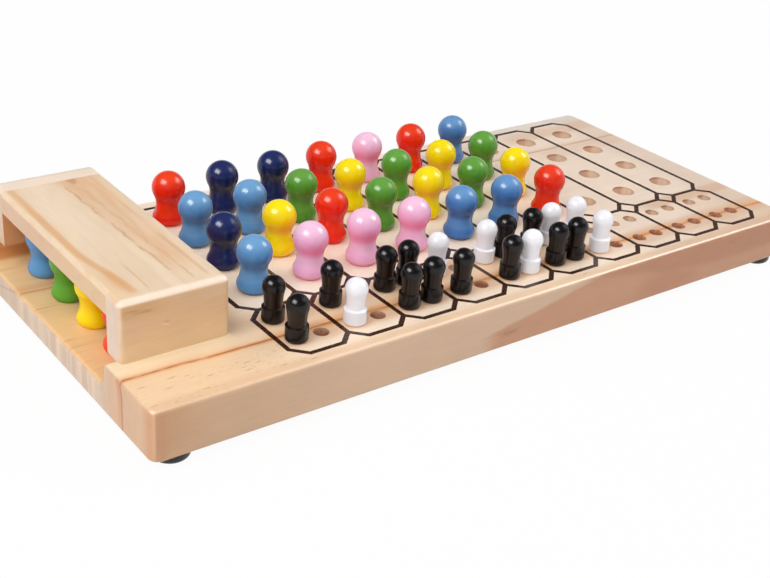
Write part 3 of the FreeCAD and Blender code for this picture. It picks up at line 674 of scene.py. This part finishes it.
LEFT_WINDOW, RIGHT_WINDOW = (-0.68, -0.07, 0.73), (0.74, -0.20, 0.64)
place_lamp("left_window", LEFT_WINDOW, 1.2, 0.90, 0.80, 0.29, False)
place_lamp("right_window", RIGHT_WINDOW, 1.5, 0.90, 0.80, 0.15, False)
place_lamp("front_fill", (-0.50, -0.72, 0.48), 1.6, 1.2, 0.9, 0.10, False)
place_lamp("left_glint", LEFT_WINDOW, 1.5, 0.95, 0.60, 0.87, True)
place_lamp("right_glint", RIGHT_WINDOW, 1.5, 0.68, 0.60, 0.80, True)


def seen_directly(nodes, links):
    """1 for the rays that show a background: camera, glossy and transmission rays."""
    rays = nodes.new("ShaderNodeLightPath")
    total = rays.outputs["Is Camera Ray"]
    for name in ("Is Glossy Ray", "Is Transmission Ray"):
        node = nodes.new("ShaderNodeMath")
        node.operation = "MAXIMUM"
        links.new(total, node.inputs[0])
        links.new(rays.outputs[name], node.inputs[1])
        total = node.outputs[0]
    return total


def background(nodes, links, height, low, high, bottom, top):
    """A background that is bottom for rays below the height low, and top above high."""
    ramp = nodes.new("ShaderNodeMapRange")
    ramp.interpolation_type = "SMOOTHSTEP"
    ramp.inputs["From Min"].default_value = low
    ramp.inputs["From Max"].default_value = high
    blend = nodes.new("ShaderNodeMix")
    blend.data_type = "RGBA"
    blend.inputs[6].default_value = bottom
    blend.inputs[7].default_value = top
    links.new(height, ramp.inputs["Value"])
    links.new(ramp.outputs[0], blend.inputs[0])
    back = nodes.new("ShaderNodeBackground")
    back.inputs["Strength"].default_value = 1.0
    links.new(blend.outputs[2], back.inputs["Color"])
    return back.outputs[0]


def studio_world():
    """A pale grey room that lights the surfaces; seen directly or mirrored in the gloss it is white
    low down and dark above, so that the windows stand out as glints."""
    world = bpy.data.worlds.new("studio")
    world.use_nodes = True
    nodes, links = world.node_tree.nodes, world.node_tree.links
    nodes.clear()
    out = nodes.new("ShaderNodeOutputWorld")
    both = nodes.new("ShaderNodeMixShader")
    place = nodes.new("ShaderNodeTexCoord")
    parts = nodes.new("ShaderNodeSeparateXYZ")
    height = parts.outputs[2]
    lit = background(nodes, links, height, 0.30, 1.0,
                     (0.30, 0.30, 0.30, 1.0), (0.84, 0.84, 0.85, 1.0))
    seen = background(nodes, links, height, 0.10, 0.36,
                      (1.0, 1.0, 1.0, 1.0), (0.07, 0.075, 0.09, 1.0))
    links.new(place.outputs["Generated"], parts.inputs[0])
    links.new(seen_directly(nodes, links), both.inputs[0])
    links.new(lit, both.inputs[1])
    links.new(seen, both.inputs[2])
    links.new(both.outputs[0], out.inputs["Surface"])
    return world


def floor_paper():
    """White paper: seen directly it is mostly plain white, and the rest keeps the shadows."""
    paper = bpy.data.materials.new("floor_paper")
    paper.use_nodes = True
    nodes, links = paper.node_tree.nodes, paper.node_tree.links
    surface = nodes["Principled BSDF"]
    surface.inputs["Base Color"].default_value = (0.80, 0.80, 0.80, 1.0)
    surface.inputs["Roughness"].default_value = 0.9
    surface.inputs["Specular IOR Level"].default_value = 0.1
    glow = nodes.new("ShaderNodeEmission")
    glow.inputs["Color"].default_value = (1.0, 1.0, 1.0, 1.0)
    glow.inputs["Strength"].default_value = 1.0
    white_share = nodes.new("ShaderNodeMath")
    white_share.operation = "MULTIPLY"
    white_share.inputs[1].default_value = 0.957
    blend = nodes.new("ShaderNodeMixShader")
    links.new(seen_directly(nodes, links), white_share.inputs[0])
    links.new(white_share.outputs[0], blend.inputs[0])
    links.new(surface.outputs[0], blend.inputs[1])
    links.new(glow.outputs[0], blend.inputs[2])
    links.new(blend.outputs[0], nodes["Material Output"].inputs["Surface"])
    return paper


scene = bpy.context.scene
scene.world = studio_world()

mesh = bpy.data.meshes.new("floor")
mesh.from_pydata([(-6, -6, 0), (6, -6, 0), (6, 6, 0), (-6, 6, 0)], [], [(0, 1, 2, 3)])
mesh.materials.append(floor_paper())
floor = bpy.data.objects.new("floor", mesh)
scene.collection.objects.link(floor)

# The camera's place and lens were worked out from the photo.
lens = bpy.data.cameras.new("photo_camera")
lens.sensor_width = 36.0
lens.lens = 57.754
lens.clip_start, lens.clip_end = 0.01, 50.0
camera = bpy.data.objects.new("photo_camera", lens)
camera.matrix_world = Matrix((
    (0.80227302, 0.22763341, -0.55185236, -0.30720028),
    (-0.59266940, 0.41432964, -0.69070539, -0.36692312),
    (0.07142117, 0.88120031, 0.46731685, 0.24420486),
    (0.0, 0.0, 0.0, 1.0)))
scene.collection.objects.link(camera)
scene.camera = camera
scene.view_settings.view_transform = "Standard"
